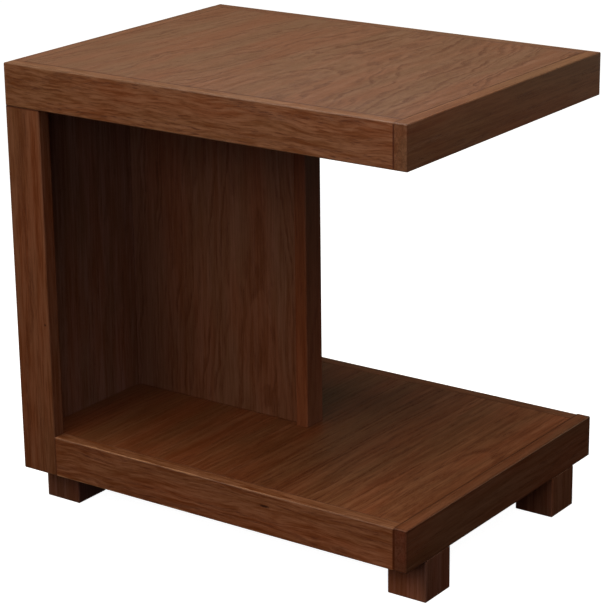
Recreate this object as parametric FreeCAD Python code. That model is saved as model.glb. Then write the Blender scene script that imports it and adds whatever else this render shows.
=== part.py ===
import FreeCAD, Part
import math
import os

# End table in brown-stained oak, C-shaped from the front: an upright panel on the left carries the top,
# and a low shelf on block feet runs out from its foot. A divider stands on the shelf and stops short of
# the open right side. The top and the shelf are hollow: two veneered skins on a frame of core timbers,
# closed by solid lips on the edges that show. The side panel and the divider are veneered boards, and
# their solid lips are wider than the boards are thick. The panels are joined with dowels, and the feet
# are screwed on. Lengths are in millimetres. +X points to the open side, +Y to the back and +Z up, and
# the origin is on the floor under the middle of the table.

# Overall size
table_width = 610.0
table_depth = 456.0
table_height = 610.0

# Panels
top_thickness = 56.0
shelf_thickness = 55.0
board_thickness = 19.0
side_lip_width = 56.0
divider_lip_width = 35.0
divider_reach = 260.0
front_bay_depth = 214.0

# Make-up of a panel
skin_thickness = 6.0
lip_thickness = 19.0
shelf_end_lip_rise = 1.2
core_timber_width = 44.0
housing_depth = 6.0
arris_chamfer = 1.0

# Feet
foot_width = 56.0
foot_depth = 56.0
foot_height = 56.0
foot_setback = 44.0

# Dowels
dowel_diameter = 10.0
dowel_length = 50.0
dowel_side_clearance = 0.1
dowel_end_clearance = 1.0
side_dowel_cover = 5.0
side_dowel_count = 3
side_dowel_margin = 12.5
divider_edge_dowel_count = 2
divider_edge_dowel_margin = 70.0
divider_wall_dowel_count = 2
divider_wall_dowel_margin = 110.0

# Foot screws
screw_length = 64.0
screw_bite = 32.0
screw_diameter = 5.0
screw_point_length = 6.0
screw_head_diameter = 9.5
screw_head_height = 3.6
screw_head_chamfer = 1.2
screw_drive_width = 3.0
screw_drive_depth = 2.0
screw_clearance = 0.1
counterbore_diameter = 12.0

# Places where the pieces meet
left_face = -table_width / 2
right_face = table_width / 2
front_face = -table_depth / 2
back_face = table_depth / 2
side_board_face = left_face + board_thickness
side_lip_face = left_face + side_lip_width
shelf_underside = foot_height
shelf_surface = shelf_underside + shelf_thickness
top_underside = table_height - top_thickness
divider_front = front_face + front_bay_depth
divider_back = divider_front + divider_lip_width
divider_end = side_lip_face + divider_reach
screw_seat_height = foot_height + screw_bite - screw_length

X_AXIS = FreeCAD.Vector(1, 0, 0)
Z_AXIS = FreeCAD.Vector(0, 0, 1)
ALL_FACES = {"-x", "+x", "-y", "+y", "-z", "+z"}

# A span is a stretch along one axis, as a pair of its low and high ends


def low_part(span, length):
    return (span[0], span[0] + length)


def high_part(span, length):
    return (span[1] - length, span[1])


def inset(span, at_low, at_high):
    return (span[0] + at_low, span[1] - at_high)


def centred(middle, length):
    return (middle - length / 2, middle + length / 2)


def middle_of(span):
    return (span[0] + span[1]) / 2


def spread(span, count, margin):
    """Evenly spaced places along a span, the outer ones a margin in from its ends."""
    low, high = inset(span, margin, margin)
    return [low + (high - low) * step / (count - 1) for step in range(count)]


# Spans of the panels, and of what lies between their lips or skins
table_x = (left_face, right_face)
table_y = (front_face, back_face)
lipped_y = inset(table_y, lip_thickness, lip_thickness)
top_z = (top_underside, table_height)
top_core_x = inset(table_x, lip_thickness, lip_thickness)
side_x = (left_face, side_lip_face)
side_board_x = (left_face, side_board_face)
side_z = (shelf_underside, top_underside)
shelf_lip_x = (side_lip_face, right_face - lip_thickness)
shelf_core_x = (side_board_face, right_face - lip_thickness)
shelf_z = (shelf_underside, shelf_surface)
divider_x = (side_board_face, divider_end)
divider_board_x = inset(divider_x, 0, lip_thickness)
divider_y = (divider_front, divider_back)
divider_middle = middle_of(divider_y)
divider_board_y = centred(divider_middle, board_thickness)
divider_z = (shelf_surface, top_underside)


def block(x, y, z):
    """A box from its spans along X, Y and Z."""
    corner = FreeCAD.Vector(x[0], y[0], z[0])
    return Part.makeBox(x[1] - x[0], y[1] - y[0], z[1] - z[0], corner)


def faces_meeting_at(edge, spans):
    """The names of the box faces that an edge lies in, such as -x and +z."""
    names = set()
    for axis, place, span in zip("xyz", edge.CenterOfMass, spans):
        if math.isclose(place, span[0], abs_tol=1e-6):
            names.add("-" + axis)
        if math.isclose(place, span[1], abs_tol=1e-6):
            names.add("+" + axis)
    return names


def eased_block(x, y, z, exposed):
    """A box with its arrises taken off wherever both of the faces that meet there are exposed."""
    solid = block(x, y, z)
    arrises = [edge for edge in solid.Edges if faces_meeting_at(edge, (x, y, z)) <= exposed]
    return solid.makeChamfer(arris_chamfer, arrises)


def level_core(panel, x, y, z):
    """The core of a level panel: a frame of four rails, and two cross-lapped ribs housed in them."""
    between_x = inset(x, core_timber_width, core_timber_width)
    between_y = inset(y, core_timber_width, core_timber_width)
    long_rib_y = centred(divider_middle, core_timber_width)
    long_rib = block(inset(between_x, -housing_depth, -housing_depth), long_rib_y, z)
    cross_rib_x = centred(middle_of((divider_end, between_x[1])), core_timber_width)
    cross_rib = block(cross_rib_x, inset(between_y, -housing_depth, -housing_depth), z)
    lower_lap = block(cross_rib_x, long_rib_y, (z[0], middle_of(z)))
    upper_lap = block(cross_rib_x, long_rib_y, (middle_of(z), z[1]))
    return {
        panel + "_core_left_rail": block(low_part(x, core_timber_width), y, z).cut(long_rib),
        panel + "_core_right_rail": block(high_part(x, core_timber_width), y, z).cut(long_rib),
        panel + "_core_front_rail": block(between_x, low_part(y, core_timber_width), z).cut(cross_rib),
        panel + "_core_back_rail": block(between_x, high_part(y, core_timber_width), z).cut(cross_rib),
        panel + "_core_long_rib": long_rib.cut(upper_lap),
        panel + "_core_cross_rib": cross_rib.cut(lower_lap),
    }


def top_panel():
    """The top: the right lip runs through to front and back, and the front and back lips to the left."""
    x, y, z = table_x, table_y, top_z
    outline = eased_block(x, y, z, ALL_FACES)
    butted_x = inset(x, 0, lip_thickness)
    pieces = {
        "top_front_lip": outline.common(block(butted_x, low_part(y, lip_thickness), z)),
        "top_back_lip": outline.common(block(butted_x, high_part(y, lip_thickness), z)),
        "top_left_lip": outline.common(block(low_part(x, lip_thickness), lipped_y, z)),
        "top_right_lip": outline.common(block(high_part(x, lip_thickness), y, z)),
        "top_upper_skin": block(top_core_x, lipped_y, high_part(z, skin_thickness)),
        "top_lower_skin": block(top_core_x, lipped_y, low_part(z, skin_thickness)),
    }
    pieces.update(level_core("top", top_core_x, lipped_y, inset(z, skin_thickness, skin_thickness)))
    return pieces


def shelf_panel():
    """The shelf runs in between the side's lips. The lip on its open end stands a little proud."""
    y, z = table_y, shelf_z
    outline = eased_block(shelf_lip_x, y, z, {"-y", "+y", "-z", "+z"})
    end_lip_x = high_part(table_x, lip_thickness)
    end_lip_z = inset(z, 0, -shelf_end_lip_rise)
    pieces = {
        "shelf_front_lip": outline.common(block(shelf_lip_x, low_part(y, lip_thickness), z)),
        "shelf_back_lip": outline.common(block(shelf_lip_x, high_part(y, lip_thickness), z)),
        "shelf_right_lip": eased_block(end_lip_x, y, end_lip_z, ALL_FACES - {"-x"}),
        "shelf_upper_skin": block(shelf_core_x, lipped_y, high_part(z, skin_thickness)),
        "shelf_lower_skin": block(shelf_core_x, lipped_y, low_part(z, skin_thickness)),
    }
    pieces.update(level_core("shelf", shelf_core_x, lipped_y, inset(z, skin_thickness, skin_thickness)))
    return pieces


def side_panel():
    """The upright under the left of the top. Its lips are flush with the board outside, and wider inside."""
    x, y, z = side_x, table_y, side_z
    outline = eased_block(x, y, z, ALL_FACES - {"+z"})
    return {
        "side_front_lip": outline.common(block(x, low_part(y, lip_thickness), z)),
        "side_back_lip": outline.common(block(x, high_part(y, lip_thickness), z)),
        "side_board": outline.common(block(side_board_x, lipped_y, z)),
    }


def divider_panel():
    """The divider between shelf and top. The lip on its free end is wider than its board on both sides."""
    lip_x = high_part(divider_x, lip_thickness)
    return {
        "divider_end_lip": eased_block(lip_x, divider_y, divider_z, {"-x", "+x", "-y", "+y"}),
        "divider_board": block(divider_board_x, divider_board_y, divider_z),
    }


def foot_spans():
    """Each foot's spans on the floor: flush with the sides, and set back from the front and back."""
    set_back_y = inset(table_y, foot_setback, foot_setback)
    left_x, right_x = low_part(table_x, foot_width), high_part(table_x, foot_width)
    front_y, back_y = low_part(set_back_y, foot_depth), high_part(set_back_y, foot_depth)
    return {
        "front_left_foot": (left_x, front_y),
        "front_right_foot": (right_x, front_y),
        "back_left_foot": (left_x, back_y),
        "back_right_foot": (right_x, back_y),
    }


def feet():
    exposed = ALL_FACES - {"+z"}
    return {name: eased_block(x, y, (0, foot_height), exposed) for name, (x, y) in foot_spans().items()}


def joint_rod(middle, axis, diameter, length):
    """A round rod along an axis, to both sides of its middle."""
    start = middle - axis * (length / 2)
    return Part.makeCylinder(diameter / 2, length, start, axis)


def dowel(middle, axis):
    return joint_rod(middle, axis, dowel_diameter, dowel_length)


def dowel_hole(middle, axis):
    diameter = dowel_diameter + 2 * dowel_side_clearance
    return joint_rod(middle, axis, diameter, dowel_length + 2 * dowel_end_clearance)


def dowel_rows():
    """Each joint's dowels: the middle of each, and the way that they run.

    Half of each upright dowel is on each side of its joint. The level ones end inside the side board."""
    upright_x = middle_of(side_board_x)
    level_x = left_face + side_dowel_cover + dowel_length / 2
    shelf_dowel_z = middle_of(shelf_z)
    across = spread(lipped_y, side_dowel_count, side_dowel_margin)
    along = spread(divider_board_x, divider_edge_dowel_count, divider_edge_dowel_margin)
    up = spread(divider_z, divider_wall_dowel_count, divider_wall_dowel_margin)
    place = FreeCAD.Vector
    return {
        "top_to_side_dowels": ([place(upright_x, y, top_underside) for y in across], Z_AXIS),
        "top_to_divider_dowels": ([place(x, divider_middle, top_underside) for x in along], Z_AXIS),
        "shelf_to_divider_dowels": ([place(x, divider_middle, shelf_surface) for x in along], Z_AXIS),
        "shelf_to_side_dowels": ([place(level_x, y, shelf_dowel_z) for y in across], X_AXIS),
        "divider_to_side_dowels": ([place(level_x, divider_middle, z) for z in up], X_AXIS),
    }


def foot_screw_seats():
    """Where each foot's screw head seats, at the bottom of its counterbore."""
    return [FreeCAD.Vector(middle_of(x), middle_of(y), screw_seat_height) for x, y in foot_spans().values()]


def foot_screw(seat):
    """A wood screw driven upwards, turned from its profile, with a square drive in its head."""
    shank = screw_diameter / 2
    rim = screw_head_diameter / 2
    profile = [
        (0, -screw_head_height),
        (rim - screw_head_chamfer, -screw_head_height),
        (rim, screw_head_chamfer - screw_head_height),
        (rim, 0),
        (shank, 0),
        (shank, screw_length - screw_point_length),
        (0, screw_length),
        (0, -screw_head_height),
    ]
    outline = Part.makePolygon([FreeCAD.Vector(radius, 0, height) for radius, height in profile])
    turned = Part.Face(outline).revolve(FreeCAD.Vector(), Z_AXIS, 360)
    drive_x = centred(0, screw_drive_width)
    drive = block(drive_x, drive_x, low_part((-screw_head_height, 0), screw_drive_depth))
    screw = turned.cut(drive)
    screw.translate(seat)
    return screw


def foot_screw_hole(seat):
    """The counterbore that the head sits in, and the hole for the shank above it."""
    floor = FreeCAD.Vector(seat.x, seat.y, 0)
    counterbore = Part.makeCylinder(counterbore_diameter / 2, seat.z, floor, Z_AXIS)
    shank_hole_radius = screw_diameter / 2 + screw_clearance
    shank_hole = Part.makeCylinder(shank_hole_radius, screw_length + screw_clearance, seat, Z_AXIS)
    return counterbore.fuse(shank_hole)


def drilled(solid, holes):
    """A piece with every hole that reaches into it."""
    reaching = [hole for hole in holes if hole.BoundBox.intersect(solid.BoundBox)]
    return solid.cut(reaching) if reaching else solid


def main():
    pieces = {}
    for make_panel in (top_panel, side_panel, divider_panel, shelf_panel, feet):
        pieces.update(make_panel())
    holes = [foot_screw_hole(seat) for seat in foot_screw_seats()]
    fastenings = {"foot_screws": [foot_screw(seat) for seat in foot_screw_seats()]}
    for name, (middles, axis) in dowel_rows().items():
        holes += [dowel_hole(middle, axis) for middle in middles]
        fastenings[name] = [dowel(middle, axis) for middle in middles]
    os.makedirs("parts", exist_ok=True)
    for name, solid in pieces.items():
        drilled(solid, holes).Solids[0].exportStep("parts/" + name + ".step")
    for name, solids in fastenings.items():
        Part.makeCompound(solids).exportStep("parts/" + name + ".step")


main()
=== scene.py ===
import math
from dataclasses import dataclass

import bpy
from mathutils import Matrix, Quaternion, Vector


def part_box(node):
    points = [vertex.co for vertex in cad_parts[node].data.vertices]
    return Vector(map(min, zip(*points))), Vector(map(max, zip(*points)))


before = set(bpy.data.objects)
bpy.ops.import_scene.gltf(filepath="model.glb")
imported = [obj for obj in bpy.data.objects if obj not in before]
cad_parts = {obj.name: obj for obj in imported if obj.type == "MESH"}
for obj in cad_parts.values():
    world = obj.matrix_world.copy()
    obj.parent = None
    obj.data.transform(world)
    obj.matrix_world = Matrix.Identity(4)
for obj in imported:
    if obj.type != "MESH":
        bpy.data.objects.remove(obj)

MILLIMETRE = 0.001
AXES = "xyz"

# Stain colours of the oak, in linear light: clear late wood, ordinary wood, early wood, open pores and
# seams, knots, and rubbed arrises, the last also used for a highlight painted along an arris.
OAK_LIGHT = (0.214, 0.0770, 0.0330)
OAK_MIDDLE = (0.160, 0.0475, 0.0152)
OAK_DARK = (0.100, 0.0200, 0.0020)
OAK_PORE = (0.066, 0.0105, 0.0007)
OAK_KNOT = (0.030, 0.0065, 0.0016)
OAK_WORN_AND_HIGHLIT = (0.300, 0.1250, 0.0500)

# Tints of the slow patches in the stain.
REDDER = (1.06, 0.88, 0.80)
GREENER = (0.94, 1.05, 1.10)

# Bare timbers inside the slabs: light wood, ordinary wood, early wood and pores, and the width of a ring.
PINE = ((0.62, 0.43, 0.24), (0.54, 0.35, 0.18), (0.36, 0.19, 0.08), (0.22, 0.11, 0.05))
PINE_RING = 0.0045
BEECH = ((0.60, 0.40, 0.25), (0.53, 0.33, 0.19), (0.42, 0.23, 0.12), (0.25, 0.12, 0.06))
BEECH_RING = 0.002

# Zinc on the screws, bright and dulled.
ZINC_BRIGHT = (0.60, 0.60, 0.58)
ZINC_DULL = (0.40, 0.40, 0.41)

# Width and length, in metres, of the patches of noise in the wood.
SWAY_PATCH = (0.04, 0.11)
BEND_PATCH = (0.08, 0.22)
RIPPLE_PATCH = (0.018, 0.045)
BREAK_PATCH = (0.012, 0.07)
TONE_PATCH = (0.05, 0.26)
PORE_PATCH = (0.0004, 0.006)
RAGGED_PATCH = (0.010, 0.035)
BARE_FIBRE_PATCH = (0.0016, 0.06)
BARE_PORE_PATCH = (0.0004, 0.004)

# The middle of a noise's values, and the stretches of them over which layers come in or go out.
NOISE_MIDDLE = 0.5
TONE_STEP = (0.36, 0.64)
FADE_STEP = (0.36, 0.64)
BREAK_STEP = (0.36, 0.60)
LIGHT_STEP = (0.46, 0.68)
DARK_STEP = (0.32, 0.52)
DASH_STEP = (0.52, 0.68)
PORE_STEP = (0.56, 0.66)
CLOUD_STEP = (0.35, 0.70)
BARE_FIBRE_STEP = (0.35, 0.70)
BARE_PORE_STEP = (0.60, 0.70)

# Growth rings, in ring widths: where the early wood is darkest, where it ends, over how many rings the
# widths vary and how much, and over how many rings the strength does.
RING_PEAK = 0.25
RING_END = 0.90
UNEVEN_OVER = 2.9
UNEVEN_BY = 1.9
FADE_OVER = 1.6

# Strengths, from 0 to 1: the least of a fading and of a broken ring, and that of each layer in the colour.
FADED_RING = 0.2
BROKEN_RING = 0.3
COARSE_STRENGTH = 0.7
FIBRE_STRENGTH = 1.0
PORE_STRENGTH = 0.35
SEAM_STRENGTH = 0.9
BARE_RING_STRENGTH = 0.65
BARE_PORE_STRENGTH = 0.40

# Ramps of the strength of dashes and pores, from late to early wood.
DASH_IN_RING = (0.0, 0.5, 0.40, 1.0)
PORE_IN_RING = (0.05, 0.6, 0.3, 1.0)

# How far the dark line of a joint and the painted shade of an arris reach in full, and where they end.
JOINT_REACH = (0.8 * MILLIMETRE, 2.2 * MILLIMETRE)
ARRIS_REACH = (0.5 * MILLIMETRE, 2.0 * MILLIMETRE)

# How far from a slab's arris a seam comes in, and where it has its full strength.
SEAM_START = (1.0 * MILLIMETRE, 2.5 * MILLIMETRE)

# Shares of a seam's width and of the reach of wear and painted highlights, and the least of those that fade.
SEAM_CORE = 0.35
WORN_AND_HIGHLIT_CORE = 0.15
WORN_AND_HIGHLIT_RAGGED = 3.0
WORN_AND_HIGHLIT_LEAST = 0.2

# How ragged a knot is, and its rim, in shares of its size.
KNOT_RAGGED = 0.8
KNOT_RIM = (0.7, 1.5)

# How far a surface is turned towards an axis, from 0 to 1, where that starts to count and counts in full.
END_TURN = (0.6, 0.9)
FACE_TURN = (0.3, 0.7)

# Roughness of the surfaces, before their layers add to it.
OAK_ROUGHNESS = 0.35
BARE_ROUGHNESS = 0.55
STEEL_ROUGHNESS = 0.22

# Strength and depth of the surfaces' relief.
WOOD_BUMP = 0.5
OAK_RELIEF = 0.12 * MILLIMETRE
BARE_RELIEF = 0.10 * MILLIMETRE
STEEL_BUMP = 0.2
STEEL_RELIEF = 0.02 * MILLIMETRE


class Wiring:
    """Adds shader nodes to one node tree. A socket's value is a number, a colour or another socket."""

    def __init__(self, tree):
        self.tree = tree
        self.tree.nodes.clear()

    def feed(self, socket, value):
        if isinstance(value, bpy.types.NodeSocket):
            self.tree.links.new(value, socket)
        else:
            socket.default_value = value

    def add(self, kind, named=None, **settings):
        made = self.tree.nodes.new(kind)
        for name, value in settings.items():
            setattr(made, name, value)
        for name, value in (named or {}).items():
            self.feed(made.inputs[name], value)
        return made

    def coordinates(self, kind="Object"):
        return self.add("ShaderNodeTexCoord").outputs[kind]

    def maths(self, operation, *values):
        made = self.add("ShaderNodeMath", operation=operation)
        for socket, value in zip(made.inputs, values):
            self.feed(socket, value)
        return made.outputs["Value"]

    def vectors(self, operation, first, second):
        made = self.add("ShaderNodeVectorMath", {0: first, 1: second}, operation=operation)
        return made.outputs["Vector"]

    def length(self, vector):
        return self.add("ShaderNodeVectorMath", {0: vector}, operation="LENGTH").outputs["Value"]

    def parts(self, vector):
        """The three numbers of a vector."""
        split = self.add("ShaderNodeSeparateXYZ", {0: vector})
        return [split.outputs[axis] for axis in range(3)]

    def weighted(self, start, layers):
        """The start, a number or a layer, plus each of the layers times its weight."""
        total = start
        for layer, weight in layers:
            total = self.maths("MULTIPLY_ADD", layer, weight, total)
        return total

    def ramp(self, value, start, end, first=0.0, last=1.0):
        """A smooth step from first, where value is at start or under, to last, where it is at end or over."""
        sockets = {"Value": value, "From Min": start, "From Max": end, "To Min": first, "To Max": last}
        made = self.add("ShaderNodeMapRange", sockets, interpolation_type="SMOOTHSTEP")
        return made.outputs["Result"]

    def blend(self, share, first, second):
        """The first colour where share is 0 and the second where it is 1."""
        made = self.add("ShaderNodeMix", data_type="RGBA", blend_type="MIX")
        sockets = (made.inputs[0], made.inputs[6], made.inputs[7])
        for socket, value in zip(sockets, (share, first, second)):
            self.feed(socket, opaque(value))
        return made.outputs[2]

    def noise(self, place, stretch, detail=2.0, roughness=0.5):
        """Noise whose patches have about the lengths in stretch, in metres, along the directions of place."""
        scaled = self.vectors("MULTIPLY", place, tuple(1.0 / length for length in stretch))
        sockets = {"Vector": scaled, "Scale": 1.0, "Detail": detail, "Roughness": roughness}
        return self.add("ShaderNodeTexNoise", sockets, noise_dimensions="3D").outputs["Fac"]

    def streaks(self, place, patch, **settings):
        """Noise whose patches have a width and a length, which runs along the grain."""
        width, length = patch
        return self.noise(place, (width, width, length), **settings)

    def line_noise(self, value, length):
        """Noise along one number, with patches of about that length."""
        sockets = {"W": self.maths("DIVIDE", value, length), "Scale": 1.0, "Detail": 1.0}
        return self.add("ShaderNodeTexNoise", sockets, noise_dimensions="1D").outputs["Fac"]

    def finish(self, colour, roughness, height, strength, depth, more=None):
        """The shader, with a relief of that strength and depth. More names other sockets of it."""
        bump = self.add("ShaderNodeBump", {"Height": height, "Strength": strength, "Distance": depth})
        sockets = {"Base Color": colour, "Roughness": roughness, "Normal": bump.outputs["Normal"]}
        sockets.update(more or {})
        shader = self.add("ShaderNodeBsdfPrincipled", sockets)
        self.add("ShaderNodeOutputMaterial", {"Surface": shader.outputs["BSDF"]})


def opaque(value):
    """A colour of three numbers with its alpha; anything else as it is."""
    return (*value, 1.0) if isinstance(value, tuple) and len(value) == 3 else value


def tinted(colour, tint):
    return tuple(part * share for part, share in zip(colour, tint))


def deepened(tint, power):
    """A tint made stronger, where power is over 1, or weaker."""
    return tuple(part ** power for part in tint)


def joined_box(names):
    """The corners of the box round several CAD nodes."""
    boxes = [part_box(name) for name in names]
    low = Vector([min(box[0][axis] for box in boxes) for axis in range(3)])
    high = Vector([max(box[1][axis] for box in boxes) for axis in range(3)])
    return low, high


def new_material(name):
    material = bpy.data.materials.new(name)
    material.use_nodes = True
    return material, Wiring(material.node_tree)


@dataclass
class Board:
    """How one board was cut from the log, took the stain and wore, and the light and shade painted on it.
    Lengths are in metres.

    The grain runs along one axis, and the broad face looks along another. cut is the board's place in the
    noise. The rings lie round a heart line beside the board's middle, at a depth under it, and taper is how
    fast they narrow along the grain. wander and ripple are how far they bend, slowly and quickly, and sway
    how far the fibres do. coarse, fibre and dash are a width and a length.

    figure, streak and dashes are strengths of the lines, bold is a ramp of their strength across the board,
    and patch is the strength of the slow patches. A tint multiplies the stain's colours, and end_tint is for
    the ends of the grain. Each of the facings is an axis and a tint that paints light and shade
    on the face that looks along it. Each of the sweeps is a direction and a ramp of tone in it,
    which paints light and shade along or across the board.

    wear is the share of the stain rubbed off the slab's arrises within wear_reach,
    and on the shelf's front it is a painted highlight; wear_fade is where along the board that
    gets less. arris is the tone of the shade painted at these arrises, and seam the width of the dark lines at
    the board's own. Each of the joints is an axis and a place on it. A knot is a place and a size."""

    grain: str
    face: str
    cut: tuple
    heart: float = 0.0
    depth: float = 0.06
    taper: float = 0.03
    ring: float = 0.006
    wander: float = 0.02
    sway: float = 0.005
    ripple: float = 0.0
    coarse: tuple = (0.009, 0.20)
    fibre: tuple = (0.0028, 0.084)
    dash: tuple = (0.0015, 0.024)
    figure: float = 0.45
    streak: float = 0.6
    dashes: float = 0.45
    bold: tuple = ()
    patch: float = 1.0
    tint: tuple = (1.0, 1.0, 1.0)
    end_tint: tuple = (0.75, 0.75, 0.75)
    facings: tuple = ()
    sweeps: tuple = ()
    gloss: float = 0.25
    wear: float = 0.12
    wear_reach: float = 3.0 * MILLIMETRE
    wear_fade: tuple = ()
    arris: float = 1.0
    seam: float = 1.1 * MILLIMETRE
    joints: tuple = ()
    knot: tuple = ()


@dataclass
class Layers:
    """The layers of a board's figure, each a socket with values from 0 to 1."""

    early: bpy.types.NodeSocket
    tone: bpy.types.NodeSocket
    coarse: bpy.types.NodeSocket
    fibre: bpy.types.NodeSocket
    dash: bpy.types.NodeSocket
    pore: bpy.types.NodeSocket


def across_through_along(board):
    """The numbers of the three axes as the board's grain has them."""
    along = AXES.index(board.grain)
    through = AXES.index(board.face)
    return 3 - along - through, through, along


def grain_place(wires, board, middle):
    """Object coordinates from the board's middle, turned to across the grain, through the board and along."""
    order = across_through_along(board)
    place = wires.parts(wires.coordinates())
    turned = wires.add("ShaderNodeCombineXYZ")
    for socket, axis in zip(turned.inputs, order):
        wires.feed(socket, place[axis])
    return wires.vectors("ADD", turned.outputs["Vector"], tuple(-middle[axis] for axis in order))


def swaying(wires, log, board):
    """The place in the log with the fibres' slow sideways wander taken in."""
    lean = wires.maths("SUBTRACT", wires.streaks(log, SWAY_PATCH), NOISE_MIDDLE)
    shift = wires.add("ShaderNodeCombineXYZ", {"X": wires.maths("MULTIPLY", lean, board.sway)})
    return wires.vectors("ADD", log, shift.outputs["Vector"])


def ring_radius(wires, own, log, board):
    """The distance from the heart line as the rings have it: they are cones that wander and may ripple."""
    across, through, along = wires.parts(own)
    side = wires.maths("SUBTRACT", across, board.heart)
    below = wires.maths("ADD", through, board.depth)
    squares = wires.maths("ADD", wires.maths("MULTIPLY", side, side), wires.maths("MULTIPLY", below, below))
    radius = wires.maths("MULTIPLY_ADD", along, board.taper, wires.maths("SQRT", squares))
    bend = wires.streaks(log, BEND_PATCH, detail=4.0, roughness=0.55)
    radius = wires.maths("MULTIPLY_ADD", bend, board.wander, radius)
    if board.ripple:
        radius = wires.maths("MULTIPLY_ADD", wires.streaks(log, RIPPLE_PATCH), board.ripple, radius)
    return radius


def ring_share(wires, own, log, board):
    """How far each place is into the early wood of its growth ring, from 0 to 1.

    The rings vary in width and fade in and out."""
    radius = ring_radius(wires, own, log, board)
    uneven = wires.maths("MULTIPLY", wires.line_noise(radius, board.ring * UNEVEN_OVER), UNEVEN_BY)
    part = wires.maths("FRACT", wires.maths("ADD", wires.maths("DIVIDE", radius, board.ring), uneven))
    rise = wires.ramp(part, 0.0, RING_PEAK)
    fall = wires.ramp(part, RING_PEAK, RING_END, 1.0, 0.0)
    whole = wires.maths("MULTIPLY", rise, fall)
    faded = wires.ramp(wires.line_noise(radius, board.ring * FADE_OVER), *FADE_STEP, FADED_RING, 1.0)
    broken = wires.ramp(wires.streaks(log, BREAK_PATCH), *BREAK_STEP, BROKEN_RING, 1.0)
    return wires.maths("MULTIPLY", whole, wires.maths("MULTIPLY", faded, broken))


def oak_grain(wires, board, own, log):
    """The layers of a board's figure. Dashes and pores are strongest in the early wood."""
    flow = swaying(wires, log, board)
    early = ring_share(wires, own, log, board)
    tone = wires.streaks(flow, TONE_PATCH)
    coarse = wires.streaks(flow, board.coarse)
    fibre = wires.streaks(flow, board.fibre, detail=4.0, roughness=0.65)
    dash = wires.ramp(wires.streaks(flow, board.dash, detail=1.0), *DASH_STEP)
    dash = wires.maths("MULTIPLY", dash, wires.ramp(early, *DASH_IN_RING))
    pore = wires.ramp(wires.streaks(flow, PORE_PATCH, detail=0.0), *PORE_STEP)
    pore = wires.maths("MULTIPLY", pore, wires.ramp(early, *PORE_IN_RING))
    return Layers(early, tone, coarse, fibre, dash, pore)


def edge_distance(wires, low, high):
    """The distance to the nearest arris of a box, for a place on its surface: the middle of three gaps."""
    place = wires.parts(wires.coordinates())
    gaps = []
    for axis in range(3):
        from_low = wires.maths("SUBTRACT", place[axis], low[axis])
        from_high = wires.maths("SUBTRACT", high[axis], place[axis])
        gaps.append(wires.maths("MINIMUM", from_low, from_high))
    least = wires.maths("MINIMUM", wires.maths("MINIMUM", gaps[0], gaps[1]), gaps[2])
    most = wires.maths("MAXIMUM", wires.maths("MAXIMUM", gaps[0], gaps[1]), gaps[2])
    total = wires.maths("ADD", wires.maths("ADD", gaps[0], gaps[1]), gaps[2])
    return wires.maths("SUBTRACT", wires.maths("SUBTRACT", total, least), most)


def joint_share(wires, joints):
    """1 on the planes where a board butts against another one, and 0 a little way from them."""
    place = wires.parts(wires.coordinates())
    share = 0.0
    for axis, at in joints:
        gap = wires.maths("ABSOLUTE", wires.maths("SUBTRACT", place[AXES.index(axis)], at))
        share = wires.maths("MAXIMUM", share, wires.ramp(gap, *JOINT_REACH, 1.0, 0.0))
    return share


def seam_share(wires, board, edge, low, high):
    """1 along the board's own arrises, where it meets the next board, but not on the arrises of the slab."""
    own_edge = edge_distance(wires, low, high)
    line = wires.ramp(own_edge, board.seam * SEAM_CORE, board.seam, 1.0, 0.0)
    return wires.maths("MULTIPLY", line, wires.ramp(edge, *SEAM_START))


def worn_and_highlit_share(wires, board, edge, own, log):
    """The share of rubbed wear and painted highlight along the slab's arrises, from 0 to 1, with a ragged
    edge.
    """
    ragged = wires.maths("SUBTRACT", NOISE_MIDDLE, wires.streaks(log, RAGGED_PATCH, detail=3.0))
    distance = wires.maths("ADD", edge, wires.maths("MULTIPLY", ragged, WORN_AND_HIGHLIT_RAGGED * board.wear_reach))
    worn_and_highlit = wires.ramp(distance, WORN_AND_HIGHLIT_CORE * board.wear_reach, board.wear_reach, board.wear, 0.0)
    if board.wear_fade:
        along = wires.parts(own)[2]
        worn_and_highlit = wires.maths("MULTIPLY", worn_and_highlit, wires.ramp(along, *board.wear_fade, 1.0, WORN_AND_HIGHLIT_LEAST))
    return worn_and_highlit


def end_share(wires, board):
    """1 on the ends of a board, where the fibres are cut across, and 0 on its sides."""
    normal = wires.parts(wires.coordinates("Normal"))
    facing = wires.maths("ABSOLUTE", normal[AXES.index(board.grain)])
    return wires.ramp(facing, *END_TURN)


def facing_share(wires, axis):
    """1 on the face that looks along an axis, and 0 on the others."""
    normal = wires.parts(wires.coordinates("Normal"))
    return wires.ramp(normal[AXES.index(axis)], *FACE_TURN)


def knot_share(wires, log, knot):
    """1 in the middle of a small pin knot, fading to 0 at its rim."""
    place, size = knot
    scaled = wires.vectors("DIVIDE", wires.vectors("SUBTRACT", wires.coordinates(), place), size)
    ragged = wires.noise(log, (min(size),) * 3)
    distance = wires.maths("MULTIPLY_ADD", ragged, KNOT_RAGGED, wires.length(scaled))
    return wires.ramp(distance, *KNOT_RIM, 1.0, 0.0)


def lined_colour(wires, board, layers, calm):
    """The calm colour with streaks, rings, dashes and pores on it."""
    light, dark, deep = (tinted(stain, board.tint) for stain in (OAK_LIGHT, OAK_DARK, OAK_PORE))
    colour = calm
    for streaks, share in ((layers.coarse, COARSE_STRENGTH), (layers.fibre, FIBRE_STRENGTH)):
        strength = share * board.streak
        colour = wires.blend(wires.ramp(streaks, *LIGHT_STEP, 0.0, strength), colour, light)
        colour = wires.blend(wires.ramp(streaks, *DARK_STEP, strength, 0.0), colour, dark)
    colour = wires.blend(wires.maths("MULTIPLY", layers.early, board.figure), colour, dark)
    colour = wires.blend(wires.maths("MULTIPLY", layers.dash, board.dashes), colour, deep)
    return wires.blend(wires.maths("MULTIPLY", layers.pore, PORE_STRENGTH), colour, deep)


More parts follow.
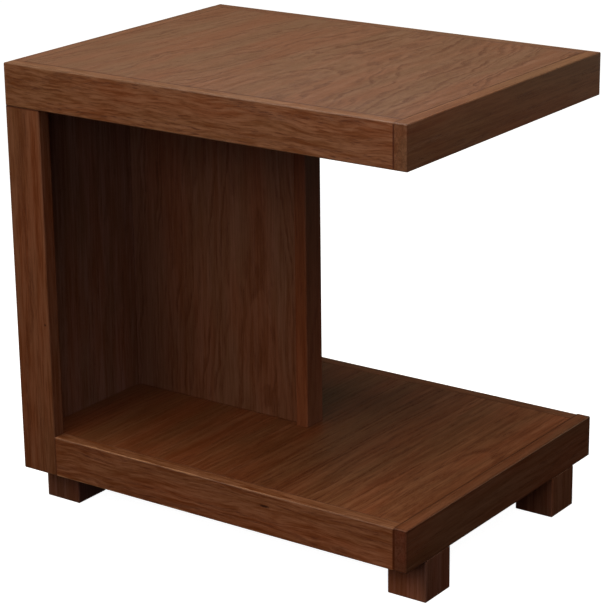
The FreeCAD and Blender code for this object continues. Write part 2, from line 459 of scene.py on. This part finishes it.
def oak_colour(wires, board, own, layers):
    """The stained colour of a board, from the layers of its figure."""
    middle = tinted(OAK_MIDDLE, board.tint)
    green, red = (tinted(middle, deepened(tint, board.patch)) for tint in (GREENER, REDDER))
    calm = wires.blend(wires.ramp(layers.tone, *TONE_STEP), green, red)
    colour = lined_colour(wires, board, layers, calm)
    across, _, along = wires.parts(own)
    if board.bold:
        colour = wires.blend(wires.ramp(across, *board.bold), calm, colour)
    # Painted light and shade: ramps of tone along or across the board.
    for direction, *ramp in board.sweeps:
        place = along if direction == "along" else across
        colour = wires.vectors("MULTIPLY", colour, wires.ramp(place, *ramp))
    # Painted light and shade: a tint on the faces that look along an axis.
    for axis, tint in board.facings:
        facing = wires.vectors("MULTIPLY", colour, tint)
        colour = wires.blend(facing_share(wires, axis), colour, facing)
    end = wires.vectors("MULTIPLY", colour, board.end_tint)
    return wires.blend(end_share(wires, board), colour, end)


def edged_colour(wires, board, colour, edge, worn_and_highlit, seam):
    """The colour with rubbed arrises and highlights painted on them, shade painted at arrises, and dark seams.
    """
    colour = wires.blend(worn_and_highlit, colour, tinted(OAK_WORN_AND_HIGHLIT, board.tint))
    # Painted shade: the slab's arrises darkened to the board's arris tone.
    if board.arris < 1.0:
        colour = wires.vectors("MULTIPLY", colour, wires.ramp(edge, *ARRIS_REACH, board.arris, 1.0))
    return wires.blend(wires.maths("MULTIPLY", seam, SEAM_STRENGTH), colour, tinted(OAK_PORE, board.tint))


def oak_material(name, slab, board):
    """Stained and lacquered oak for one board of a slab."""
    material, wires = new_material(name + "_oak")
    low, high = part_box(name)
    own = grain_place(wires, board, (low + high) / 2)
    log = wires.vectors("ADD", own, board.cut)
    layers = oak_grain(wires, board, own, log)
    colour = oak_colour(wires, board, own, layers)
    if board.knot:
        colour = wires.blend(knot_share(wires, log, board.knot), colour, OAK_KNOT)
    edge = edge_distance(wires, *slab)
    seam = seam_share(wires, board, edge, low, high)
    worn_and_highlit = worn_and_highlit_share(wires, board, edge, own, log)
    if board.joints:
        joint = joint_share(wires, board.joints)
        seam = wires.maths("MAXIMUM", seam, joint)
        worn_and_highlit = wires.maths("MULTIPLY", worn_and_highlit, wires.maths("SUBTRACT", 1.0, joint))
    colour = edged_colour(wires, board, colour, edge, worn_and_highlit, seam)
    weights = ((layers.fibre, 0.12), (layers.early, 0.05), (layers.pore, 0.16), (worn_and_highlit, 0.10))
    roughness = wires.weighted(OAK_ROUGHNESS, weights)
    hollow = wires.weighted(layers.pore, ((layers.early, 0.25), (layers.dash, 0.45), (seam, 1.5)))
    height = wires.maths("SUBTRACT", 1.0, hollow)
    gloss = {"Specular IOR Level": board.gloss}
    wires.finish(colour, roughness, height, WOOD_BUMP, OAK_RELIEF, gloss)
    return material


def plain_timber(name, colours, ring):
    """Bare planed timber, for the pieces inside the slabs, with the grain along the longest side."""
    material, wires = new_material(name)
    light, middle, dark, deep = colours
    low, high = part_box(name)
    sides = [high[axis] - low[axis] for axis in range(3)]
    grain = sides.index(max(sides))
    face = (grain + 1) % 3
    cut = (0.31, 0.17, 0.53)
    board = Board(AXES[grain], AXES[face], cut, heart=0.02, depth=0.09, taper=0.02, ring=ring)
    own = grain_place(wires, board, (low + high) / 2)
    log = wires.vectors("ADD", own, board.cut)
    early = ring_share(wires, own, log, board)
    fibre = wires.streaks(log, BARE_FIBRE_PATCH, detail=3.0, roughness=0.6)
    pore = wires.ramp(wires.streaks(log, BARE_PORE_PATCH, detail=0.0), *BARE_PORE_STEP)
    colour = wires.blend(wires.ramp(fibre, *BARE_FIBRE_STEP), middle, light)
    colour = wires.blend(wires.maths("MULTIPLY", early, BARE_RING_STRENGTH), colour, dark)
    colour = wires.blend(wires.maths("MULTIPLY", pore, BARE_PORE_STRENGTH), colour, deep)
    roughness = wires.weighted(BARE_ROUGHNESS, ((fibre, 0.16),))
    height = wires.maths("SUBTRACT", 1.0, wires.weighted(pore, ((early, 0.4),)))
    wires.finish(colour, roughness, height, WOOD_BUMP, BARE_RELIEF)
    return material


def plated_steel():
    """Zinc-plated steel of the foot screws, dulled in patches and finely scratched."""
    material, wires = new_material("plated_steel")
    place = wires.coordinates()
    cloud = wires.noise(place, (0.003, 0.003, 0.003), detail=3.0)
    scratch = wires.noise(place, (0.0002, 0.004, 0.002), detail=1.0)
    colour = wires.blend(wires.ramp(cloud, *CLOUD_STEP), ZINC_BRIGHT, ZINC_DULL)
    roughness = wires.weighted(STEEL_ROUGHNESS, ((cloud, 0.25),))
    wires.finish(colour, roughness, scratch, STEEL_BUMP, STEEL_RELIEF, {"Metallic": 1.0})
    return material


def dress(name, material):
    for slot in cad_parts[name].material_slots:
        slot.material = material


def soften_arrises(name):
    """Rounds the corners of a board's eased arrises, as sanding does."""
    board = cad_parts[name]
    weld = board.modifiers.new("weld", "WELD")
    weld.merge_threshold = 0.002 * MILLIMETRE
    bevel = board.modifiers.new("sanded", "BEVEL")
    bevel.width = 0.35 * MILLIMETRE
    bevel.segments = 2
    bevel.limit_method = "ANGLE"
    bevel.angle_limit = math.radians(35)
    bevel.harden_normals = True


def dress_boards(boards):
    """Gives each board of one slab its own oak."""
    slab = joined_box(boards)
    for name, board in boards.items():
        dress(name, oak_material(name, slab, board))
        soften_arrises(name)


def dress_top():
    """The top: four lips, and two plain-sawn skins with the grain from front to back."""
    lip = dict(depth=0.11, taper=0.012, ring=0.0055, wander=0.03, sway=0.02, streak=0.8, dashes=0.8)
    lip.update(coarse=(0.007, 0.07), fibre=(0.0026, 0.034), dash=(0.0016, 0.018))
    end_lip = dict(depth=0.12, taper=0.01, ring=0.005, figure=0.2, streak=0.6, dashes=0.5)
    skin = dict(depth=0.045, taper=0.16, ring=0.012, wander=0.09, sway=0.012, ripple=0.014)
    skin.update(fibre=(0.0026, 0.05), dash=(0.0018, 0.014))
    skin.update(figure=1.0, streak=0.5, dashes=0.6, patch=0.9, gloss=0.5)

    front_seam = (("y", joined_box(["top_front_lip"])[1].y),)
    # Painted light and shade: the front lip paler to the right, its upper face tinted apart, its arrises
    # darker.
    painted_light_right = ("along", 0.05, 0.2, 0.98, 1.06)
    front = dict(tint=(1.13, 1.29, 1.47), facings=(("z", (0.92, 1.04, 1.10)),), sweeps=(painted_light_right,))
    front.update(gloss=0.4, wear=0.12, wear_reach=0.0045, arris=0.70, seam=0.0018, joints=front_seam)
    # Painted light and shade: the right lip's upper face tinted apart from its sides, its arrises darker.
    right = dict(tint=(0.98, 1.05, 0.97), end_tint=(0.97, 1.11, 1.38), facings=(("z", (0.92, 1.0, 1.06)),))
    right.update(gloss=0.42, wear=0.04, arris=0.75, seam=0.0016)
    # Painted shade at the arrises of the back and left lips.
    far = dict(tint=(0.89, 1.07, 1.24), gloss=0.5, wear=0.04, arris=0.8, seam=0.0006)
    upper = dict(tint=(0.88, 1.09, 1.36), bold=(-0.16, 0.04, 0.7, 1.0), seam=0.0012, joints=front_seam)
    dress_boards({
        "top_front_lip": Board("x", "y", cut=(0.1, 0.2, 0.7), heart=0.045, **front, **lip),
        "top_back_lip": Board("x", "y", cut=(1.3, 0.6, 2.2), heart=-0.03, **far, **lip),
        "top_left_lip": Board("y", "x", cut=(2.1, 1.2, 0.3), heart=0.04, **far, **end_lip),
        "top_right_lip": Board("y", "x", cut=(0.6, 2.9, 1.7), heart=0.05, **right, **end_lip),
        "top_upper_skin": Board("y", "z", cut=(3.0, 0.4, 0.9), heart=0.07, **upper, **skin),
        "top_lower_skin": Board("y", "z", cut=(4.2, 1.4, 2.9), heart=-0.08, **skin),
    })


def dress_shelf():
    """The shelf: three lips, and two skins with the grain from front to back. Its front arris has a painted
    highlight.
    """
    lip = dict(depth=0.11, taper=0.012, ring=0.0055, wander=0.03, sway=0.02)
    lip.update(coarse=(0.008, 0.08), fibre=(0.0026, 0.044), dash=(0.0016, 0.020))
    lip.update(figure=0.6, streak=0.85, dashes=0.7)
    end_lip = dict(depth=0.12, taper=0.01, ring=0.005, figure=0.2, streak=0.5, dashes=0.5, wear=0.03)
    skin = dict(depth=0.07, taper=0.03, ring=0.0085, wander=0.025)
    skin.update(figure=0.7, streak=0.75, dashes=0.7, patch=1.3)

    against_side = (("x", joined_box(["side_front_lip"])[1].x),)
    front_face = joined_box(["shelf_front_lip"])[0].y
    knot = ((0.0945, front_face, 0.0945), (0.010, 0.004, 0.002))
    # Painted light: the front lip paler towards the right, and its upper face tinted apart from its front.
    painted_light_right = ("along", 0.0, 0.15, 0.96, 1.07)
    front = dict(tint=(1.22, 1.28, 1.43), facings=(("z", (1.09, 1.15, 1.13)),), sweeps=(painted_light_right,))
    front.update(gloss=0.4, seam=0.0016, joints=against_side, knot=knot)
    # A highlight painted along the front arris, full on the left half and fading towards the right end.
    front.update(wear=1.0, wear_reach=0.0024, wear_fade=(0.0, 0.12))
    # Painted light and shade: the right lip's upper face tinted apart from its sides, its arrises darker.
    right = dict(tint=(0.96, 1.10, 1.30), end_tint=(0.72, 0.61, 0.72), facings=(("z", (1.09, 1.02, 0.93)),))
    right.update(gloss=0.25, arris=0.8, seam=0.0034)
    plank = dict(tint=(1.02, 1.04, 1.0), gloss=0.35, seam=0.0003)
    # Painted light and shade on the upper skin: darker across the left and middle, paler at the right end.
    duller_middle = ("across", -0.02, 0.06, 1.05, 0.98)
    painted_light_towards_end = ("across", 0.08, 0.21, 0.86, 1.30)
    upper = dict(sweeps=(duller_middle, painted_light_towards_end), bold=(-0.12, 0.12, 0.68, 1.0), **plank)
    dress_boards({
        "shelf_front_lip": Board("x", "y", cut=(5.1, 0.8, 1.9), heart=-0.05, **front, **lip),
        "shelf_back_lip": Board("x", "y", cut=(6.3, 1.6, 0.2), heart=0.04, **plank, **lip),
        "shelf_right_lip": Board("y", "x", cut=(7.2, 0.9, 3.1), heart=0.05, **right, **end_lip),
        "shelf_upper_skin": Board("y", "z", cut=(8.4, 2.0, 1.1), heart=0.26, **upper, **skin),
        "shelf_lower_skin": Board("y", "z", cut=(9.0, 3.3, 0.6), heart=0.12, **skin),
    })


def dress_side():
    """The left side: two lips and the board between them, with upright grain."""
    low, high = joined_box(["side_front_lip"])
    under_top = (("z", high.z),)
    knot = ((-0.2556, low.y, 0.2667), (0.002, 0.002, 0.0025))
    stain = (0.94, 1.01, 1.20)
    lip = dict(depth=0.09, taper=0.012, ring=0.006, fibre=(0.0026, 0.05), figure=0.45, streak=0.6)
    lip.update(tint=stain, joints=under_top)
    board = dict(depth=0.06, taper=0.04, ring=0.008, wander=0.03, figure=0.40, streak=0.5, dashes=0.4)
    # Painted light and shade: the board's inner face, looking into the bay, has a tint of its own.
    board.update(tint=stain, facings=(("x", (1.04, 1.33, 1.86)),), seam=0.0004)
    dress_boards({
        "side_front_lip": Board("z", "y", cut=(1.7, 4.2, 2.3), heart=0.02, knot=knot, **lip),
        "side_back_lip": Board("z", "y", cut=(2.6, 5.1, 0.8), heart=-0.02, **lip),
        "side_board": Board("z", "x", cut=(4.7, 7.4, 2.5), heart=0.02, **board),
    })


def dress_divider():
    """The divider: its end lip and its board, with upright grain."""
    # Painted shade: the lip darker towards the top, under the top's shade, and its right face tinted apart.
    painted_shade_above = ("along", -0.22, 0.14, 1.12, 0.78)
    lip = dict(depth=0.08, streak=0.4, wear=0.05, seam=0.0005)
    lip.update(tint=(0.89, 0.74, 0.74), facings=(("x", (0.95, 1.12, 1.35)),), sweeps=(painted_shade_above,))
    # Painted shade: the board darker towards its left, near the corner with the side.
    painted_light_towards_end = ("across", -0.10, -0.01, 0.92, 1.05)
    board = dict(depth=0.05, taper=0.07, ring=0.009, wander=0.05, ripple=0.004, figure=0.65, streak=0.38)
    board.update(tint=(0.80, 0.98, 1.42), sweeps=(painted_light_towards_end,), patch=0.8, seam=0.001)
    dress_boards({
        "divider_end_lip": Board("z", "x", cut=(5.6, 8.1, 0.4), heart=0.03, **lip),
        "divider_board": Board("z", "y", cut=(6.6, 9.3, 1.2), heart=0.07, **board),
    })


def dress_feet():
    """The four block feet, each a slab of its own, with upright grain."""
    foot = dict(depth=0.10, taper=0.01, ring=0.005, figure=0.5, streak=0.5, dashes=0.4, wear=0.1)
    # Painted shade: the front right foot darker towards its right face.
    painted_shade_right = ("across", 0.016, 0.028, 1.12, 0.82)
    front_left = dict(tint=(0.78, 0.90, 1.5))
    front_right = dict(tint=(1.28, 1.42, 2.15), sweeps=(painted_shade_right,))
    back_right = dict(tint=(1.12, 1.20, 1.5))
    feet = {
        "front_left_foot": Board("z", "y", cut=(0.9, 5.5, 2.0), heart=0.03, **front_left, **foot),
        "front_right_foot": Board("z", "y", cut=(2.2, 4.8, 2.6), heart=0.03, **front_right, **foot),
        "back_left_foot": Board("z", "y", cut=(3.5, 4.1, 3.2), heart=-0.03, **foot),
        "back_right_foot": Board("z", "y", cut=(4.8, 3.4, 3.8), heart=-0.03, **back_right, **foot),
    }
    for name, board in feet.items():
        dress_boards({name: board})


def dress_hidden_pieces():
    """The core frames, the dowels and the foot screws."""
    for name in sorted(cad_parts):
        if "_core_" in name:
            dress(name, plain_timber(name, PINE, PINE_RING))
        elif name.endswith("_dowels"):
            dress(name, plain_timber(name, BEECH, BEECH_RING))
    dress("foot_screws", plated_steel())


def pale_floor():
    """A pale surface with a glow of its own, a little weaker round the table, and clear from below."""
    near, far = 0.6, 2.5
    near_glow, far_glow = 0.96, 1.0
    material, wires = new_material("pale_floor")
    glow = wires.ramp(wires.length(wires.coordinates()), near, far, near_glow, far_glow)
    sockets = {"Base Color": (0.55, 0.55, 0.55, 1.0), "Roughness": 0.9}
    sockets.update({"Emission Color": (1.0, 1.0, 1.0, 1.0), "Emission Strength": glow})
    shader = wires.add("ShaderNodeBsdfPrincipled", sockets).outputs["BSDF"]
    clear = wires.add("ShaderNodeBsdfTransparent").outputs["BSDF"]
    back = wires.add("ShaderNodeNewGeometry").outputs["Backfacing"]
    mixed = wires.add("ShaderNodeMixShader", {0: back, 1: shader, 2: clear})
    wires.add("ShaderNodeOutputMaterial", {"Surface": mixed.outputs["Shader"]})
    return material


def make_floor():
    """The floor under the table. It throws no light on the table."""
    half = 30.0
    mesh = bpy.data.meshes.new("floor")
    corners = [(-half, -half, 0.0), (half, -half, 0.0), (half, half, 0.0), (-half, half, 0.0)]
    mesh.from_pydata(corners, [], [(0, 1, 2, 3)])
    mesh.materials.append(pale_floor())
    floor = bpy.data.objects.new("floor", mesh)
    floor.visible_diffuse = False
    floor.visible_glossy = False
    bpy.context.scene.collection.objects.link(floor)


def make_world():
    """A little light from all round, behind a white backdrop."""
    world = bpy.data.worlds.new("studio")
    world.use_nodes = True
    bpy.context.scene.world = world
    wires = Wiring(world.node_tree)
    soft = wires.add("ShaderNodeBackground", {"Strength": 0.02}).outputs["Background"]
    white = wires.add("ShaderNodeBackground", {"Strength": 1.0}).outputs["Background"]
    seen = wires.add("ShaderNodeLightPath").outputs["Is Camera Ray"]
    mixed = wires.add("ShaderNodeMixShader", {0: seen, 1: soft, 2: white})
    wires.add("ShaderNodeOutputWorld", {"Surface": mixed.outputs["Shader"]})


def bearing(turn, rise):
    """The direction that is turned to the right of the table's front and raised, both in degrees."""
    turn, rise = math.radians(turn), math.radians(rise)
    return Vector((math.sin(turn) * math.cos(rise), -math.cos(turn) * math.cos(rise), math.sin(rise)))


def add_lamp(name, lamp, direction, place=(0.0, 0.0, 0.0)):
    """Links a lamp that shines against direction, which points from the table to the lamp."""
    holder = bpy.data.objects.new(name, lamp)
    holder.location = place
    holder.rotation_mode = "QUATERNION"
    holder.rotation_quaternion = direction.to_track_quat("Z", "Y")
    holder.visible_camera = False
    bpy.context.scene.collection.objects.link(holder)


def add_softbox(name, place, aim, size, watts, colour):
    lamp = bpy.data.lights.new(name, "AREA")
    lamp.shape = "RECTANGLE"
    lamp.size, lamp.size_y = size
    lamp.energy = watts
    lamp.color = colour
    add_lamp(name, lamp, Vector(place) - Vector(aim), place)


def make_softboxes():
    """Softboxes close round the table."""
    middle = (0.0, 0.0, 0.4)
    add_softbox("front_softbox", place=(-0.6, -1.7, 1.7), aim=middle, size=(1.2, 1.2),
                watts=14.8, colour=(1.0, 0.93, 0.69))
    add_softbox("low_front_softbox", place=(0.6, -1.9, 1.0), aim=middle, size=(1.2, 1.2),
                watts=10.3, colour=(0.92, 0.90, 1.0))
    add_softbox("overhead_softbox", place=(0.0, -0.03, 1.7), aim=(0.0, -0.03, 0.6), size=(1.2, 1.1),
                watts=19.3, colour=(0.98, 0.99, 1.0))
    add_softbox("right_softbox", place=(1.4, -0.2, 1.25), aim=(0.2, 0.0, 0.5), size=(1.0, 1.0),
                watts=4.65, colour=(1.0, 0.96, 0.94))
    add_softbox("back_left_softbox", place=(-0.85, 1.25, 1.30), aim=(0.0, 0.0, 0.61), size=(1.4, 0.7),
                watts=0.98, colour=(1.0, 1.0, 0.64))
    add_softbox("back_right_softbox", place=(0.9, 1.7, 0.8), aim=(0.0, 0.0, 0.35), size=(1.0, 1.0),
                watts=3.0, colour=(1.0, 0.96, 0.73))


def make_left_light():
    """A broad low light from the left of the front."""
    turn, rise = -60, 25
    sun = bpy.data.lights.new("left_light", "SUN")
    sun.energy = 0.75
    sun.angle = math.radians(35)
    sun.color = (1.0, 0.94, 0.67)
    add_lamp("left_light", sun, bearing(turn, rise))


def make_camera():
    """The photograph's viewpoint: to the right of the front, a little above, with a slight roll."""
    turn, rise, roll = 35.49, 18.36, -0.722
    lens = bpy.data.cameras.new("camera")
    lens.lens = 136.4
    lens.sensor_width = 36.0
    camera = bpy.data.objects.new("camera", lens)
    camera.location = (1.6659, -2.3451, 1.2344)
    camera.rotation_mode = "QUATERNION"
    level = bearing(turn, rise).to_track_quat("Z", "Y")
    camera.rotation_quaternion = level @ Quaternion((0.0, 0.0, 1.0), math.radians(roll))
    bpy.context.scene.collection.objects.link(camera)
    bpy.context.scene.camera = camera


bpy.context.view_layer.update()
dress_top()
dress_shelf()
dress_side()
dress_divider()
dress_feet()
dress_hidden_pieces()
make_floor()
make_world()
make_softboxes()
make_left_light()
make_camera()
bpy.context.scene.view_settings.view_transform = "Standard"
